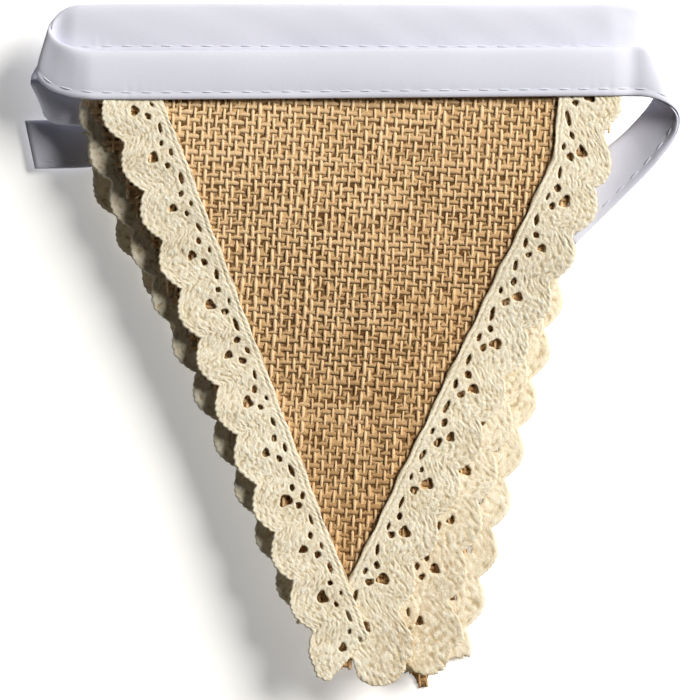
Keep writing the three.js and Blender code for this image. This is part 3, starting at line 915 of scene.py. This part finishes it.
tape_line, tape_at = smooth_route(TAPE_ROUTE)
tape_run = np.concatenate([[0], np.cumsum(np.linalg.norm(np.diff(tape_line, axis=0), axis=1))])
stations = np.arange(len(TAPE_ROUTE))
turns, rises, rooms = np.array(TAPE_ROUTE).T[3:]
tape_turn = np.radians(np.interp(tape_at, stations, turns))
tape_rise = np.radians(np.interp(tape_at, stations, rises))
tape_room = np.interp(tape_at, stations, rooms)
tape_way = np.gradient(tape_line, axis=0)
tape_way /= np.linalg.norm(tape_way, axis=1, keepdims=True)
level_share = np.cos(tape_rise)
tape_across = np.stack(
    [np.cos(tape_turn) * level_share, np.sin(tape_turn) * level_share, np.sin(tape_rise)], axis=1
)
tape_out = np.cross(tape_way, tape_across)
tape_out /= np.linalg.norm(tape_out, axis=1, keepdims=True)

# From the open edge across to the fold: how far the outside bulges where a pennant is held, and where
# none is
BULGE_AT = (-EDGE, -7.2, -6.3, -5.5, -4.7, -3.0, 0.0, 3.0, 5.2, 6.6, 7.35, EDGE)
BULGE_HELD = (1.45, 1.92, 1.95, 1.78, 1.93, 2.12, 2.2, 2.0, 1.65, 1.2, 0.72, 0.0)
BULGE_BARE = (0.45, 0.78, 0.80, 0.68, 0.76, 0.80, 0.82, 0.84, 0.86, 0.82, 0.58, 0.0)

# Where the points of its section lie across the tape, on its outside and on its inside
OUTSIDE_AT = (-EDGE, -7.45, -7.0, -6.5, -6.0, -5.5, -5.0, -4.5, -3.8, -2.8)
OUTSIDE_AT += (-1.5, 0, 1.5, 3, 4.3, 5.4, 6.3, 7.0, 7.45)
INSIDE_AT = (-7.55, -6.8, -4.0, 0.5, 3.5, 5.8, 6.6)


def half_thickness(w, room):
    """Half the thickness of the folded tape w across it."""
    held = np.interp(w, BULGE_AT, BULGE_HELD)
    bare = np.interp(w, BULGE_AT, BULGE_BARE)
    share = (room - BARE) / (HELD - BARE)
    return bare + (held - bare) * share


def pucker(run, w, salt):
    """Small creases that the stitching draws up, and slow folds along the tape."""
    near = np.exp(-(((w - STITCH_LINE) / PUCKER_WIDE) ** 2))
    drawn = 0.05 * near * np.cos(2 * math.pi * run / STITCH_PITCH * 2 + 1.7 * np.sin(run / 17 + salt))
    slow = 0.10 * np.sin(run / 9.5 + w / 5 + salt) + 0.08 * np.sin(run / 21 - w / 3 + 2 * salt)
    cross = 0.05 * np.sin(run / 3.7 + w * 0.5 + 2 * np.sin(run / 31))
    return drawn + (slow + cross) * np.clip((EDGE - np.abs(w)) / 2, 0, 1)


def tape_points(w, sign, lift):
    """Points on the tape's outside, w across it, on the side that sign gives."""
    creases = pucker(tape_run, w, 1.0 + sign) * min(1, EDGE - w)
    shift = (half_thickness(w, tape_room) + creases + lift) * sign
    point = tape_line + tape_across * w + tape_out * shift[:, None]
    return point - np.array([MIDDLE_X, MIDDLE_Y, 0])


def binding_tape():
    """The folded tape, one closed skin round both its leaves, which join at the fold."""
    rings = [tape_points(w, 1, 0.0) for w in OUTSIDE_AT]
    rings.append(tape_points(EDGE, 1, 0.0))
    rings += [tape_points(w, -1, 0.0) for w in reversed(OUTSIDE_AT)]
    for sign, inside in ((-1, INSIDE_AT), (1, INSIDE_AT[::-1])):
        for w in inside:
            rings.append(tape_points(w, sign, -TAPE_LEAF * min(1, 0.35 + (w + EDGE) / 0.5)))
    section = np.stack(rings, axis=1)
    count, sides = section.shape[:2]
    start = np.arange(count - 1)[:, None] * sides
    here = np.arange(sides)[None, :]
    beside = (here + 1) % sides
    quads = np.stack([start + here, start + sides + here, start + sides + beside, start + beside], axis=-1)
    faces = quads.reshape(-1, 4).tolist()
    fold, lined = len(OUTSIDE_AT), len(INSIDE_AT)
    outer = 2 * fold + 1
    for base, flip in ((0, False), ((count - 1) * sides, True)):
        upper = list(range(0, fold + 1)) + list(range(outer + lined, sides))
        lower = list(range(fold, outer)) + list(range(outer, outer + lined))
        middle = [fold, outer + lined - 1, outer + lined]
        for corners in (upper, lower, middle):
            cap = [base + n for n in corners]
            faces.append(cap[::-1] if flip else cap)
    tape = mesh_piece("binding_tape", section.reshape(-1, 3), faces)
    run = np.repeat(tape_run, sides)
    across = np.tile(OUTSIDE_AT + (EDGE,) + OUTSIDE_AT[::-1] + INSIDE_AT + INSIDE_AT[::-1], count)
    mark_strip(tape, run, across, 0 * run)
    return tape


def along_tape(rows, run):
    """Rows of x, y, z that belong to the tape's line, read at these lengths along it."""
    return np.stack([np.interp(run, tape_run, rows[:, n]) for n in range(3)], axis=1)


def stitching():
    """The machine stitches that close the tape, seen on both its faces."""
    threads = Strands()
    arch, swell = np.array(STITCH_ARCH), np.array(STITCH_SWELL)
    for sign in (1, -1):
        seam = tape_points(STITCH_LINE, sign, 0.0)
        first = STITCH_FIRST + (0 if sign > 0 else STITCH_STAGGER)
        for begin in np.arange(first, tape_run[-1] - STITCH_LAST, STITCH_PITCH):
            length = STITCH_LENGTH + chance.uniform(-STITCH_SPREAD, STITCH_SPREAD)
            run = np.linspace(begin, begin + length, len(arch))
            path = along_tape(seam, run) + along_tape(tape_out, run) * (arch * sign)[:, None]
            side_axis = along_tape(tape_across, run) * sign
            half = THREAD_HALF * swell
            threads.add(path, half, half, 5, chance.uniform(-1, 1), side_axis)
    return threads.piece("tape_stitches")


def white_cotton():
    """A fine, faintly bluish white tape cloth."""
    material, wire = new_material("white_cotton")
    strip = wire.node("Attribute", settings={"attribute_name": "strip"}, output="Vector")
    place_at = wire.node("TexCoord", output="Object")
    long_way = wire.node("Mapping", {"Vector": strip, "Scale": (0.5, 4.0, 1.0)})
    short_way = wire.node("Mapping", {"Vector": strip, "Scale": (4.0, 0.5, 1.0)})
    warp = noise(long_way, 1.0, 2.0)
    weft = noise(short_way, 1.0, 2.0)
    cloud = noise(place_at, 30.0, 2.0)
    cloth = warp * 0.5 + weft * 0.5
    shade = (cloth - 0.5) * 0.5 + (cloud - 0.5) * 0.5 + 0.5
    base = shade.blend(colour(209, 212, 229), colour(232, 234, 249))
    white = colour(255, 255, 255)
    finish_cloth(wire, base, cloth, strength=0.35, distance=0.00012, roughness=0.72, sheen=0.1, tint=white)
    return material


def sewing_thread():
    """White thread, uneven from its ply."""
    material, wire = new_material("sewing_thread")
    place_at = wire.node("TexCoord", output="Object")
    ply = noise(place_at, 3500.0, 2.0)
    base = ply.blend(colour(206, 209, 224), colour(238, 240, 250))
    white = colour(255, 255, 255)
    finish_cloth(wire, base, ply, strength=0.5, distance=0.0002, roughness=0.55, sheen=0.0, tint=white)
    return material


tape = binding_tape()
tape.data.materials.append(white_cotton())
stitches = stitching()
stitches.data.materials.append(sewing_thread())
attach(tape, "root")
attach(stitches, "root")
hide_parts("tape")


# ---------------------------------------------------------------------------------------------
# The table it lies on, the soft daylight from the right and above, and the camera that looks
# almost straight down on it. None of these belongs to the bunting.
# ---------------------------------------------------------------------------------------------

TABLE_SIZE = 3.0
TABLE_GLOW = 0.34  # painted light: the pale table glows a little by itself, in place of the light it would get from the rest of the room
DAYLIGHT = (1.0, 0.97, 0.91)
ROOM_LIGHT, ROOM_STRENGTH = (1.0, 0.98, 0.94), 0.034

PICTURE_PIXELS = 700
PIXELS_PER_MM = 3.25  # at the height of the stack's top
TOP_SURFACE = 24.0
CAMERA_TILT = (math.radians(0.7), math.radians(-1.5), 0.0)  # it stands towards the tips and the left
CAMERA_AWAY = 1400.0
SENSOR = 36.0
NEAREST = 0.01
AIM = (0.46 - MIDDLE_X, -1.4 - MIDDLE_Y)


def table_top():
    """A wide, pale and plain surface."""
    bpy.ops.mesh.primitive_grid_add(x_subdivisions=8, y_subdivisions=8, size=TABLE_SIZE, location=(0, 0, 0))
    table = bpy.context.active_object
    table.name = "floor"
    bpy.ops.object.transform_apply(location=True, rotation=True, scale=True)
    material, wire = new_material("pale_table")
    place_at = wire.node("TexCoord", output="Object")
    grain = noise(place_at, 420.0, 3.0)
    base = grain.blend(colour(250, 250, 250), colour(255, 255, 255))
    bump = wire.node("Bump", {"Height": grain, "Strength": 0.05, "Distance": 0.0004})
    inputs = {"Base Color": base, "Roughness": 0.8, "Normal": bump}
    # painted light: the table's own glow
    inputs["Emission Color"] = colour(255, 255, 255)
    inputs["Emission Strength"] = TABLE_GLOW
    surface = wire.node("BsdfPrincipled", inputs)
    wire.node("OutputMaterial", {"Surface": surface})
    table.data.materials.append(material)


def soft_light(name, azimuth, up, distance, size, power):
    """A round area light aimed at the stack, azimuth counted from +X towards +Y."""
    lamp = bpy.data.lights.new(name, "AREA")
    lamp.shape = "DISK"
    lamp.size = size
    lamp.energy = power
    lamp.color = DAYLIGHT
    bulb = bpy.data.objects.new(name, lamp)
    a, e = math.radians(azimuth), math.radians(up)
    spot = Vector((math.cos(a) * math.cos(e), math.sin(a) * math.cos(e), math.sin(e))) * distance
    bulb.location = spot
    bulb.rotation_euler = (-spot).to_track_quat("-Z", "Y").to_euler()
    bpy.context.scene.collection.objects.link(bulb)


def overhead_camera():
    """A long lens high above, tilted by about a degree."""
    lens = bpy.data.cameras.new("camera")
    eye = bpy.data.objects.new("camera", lens)
    aim = Vector((AIM[0], AIM[1], TOP_SURFACE)) * MM
    eye.rotation_euler = CAMERA_TILT
    eye.location = aim + Euler(CAMERA_TILT).to_matrix() @ Vector((0, 0, CAMERA_AWAY * MM))
    lens.sensor_width = SENSOR
    lens.lens = SENSOR * CAMERA_AWAY * PIXELS_PER_MM / PICTURE_PIXELS
    lens.clip_start = NEAREST
    bpy.context.scene.collection.objects.link(eye)
    bpy.context.scene.camera = eye


table_top()
soft_light("daylight", azimuth=30, up=40, distance=3.2, size=1.7, power=152)
overhead_camera()
world = bpy.data.worlds.new("daylit_room")
bpy.context.scene.world = world
world.use_nodes = True
room = world.node_tree.nodes["Background"]
room.inputs["Color"].default_value = (*ROOM_LIGHT, 1)
room.inputs["Strength"].default_value = ROOM_STRENGTH
bpy.context.scene.view_settings.view_transform = "Standard"
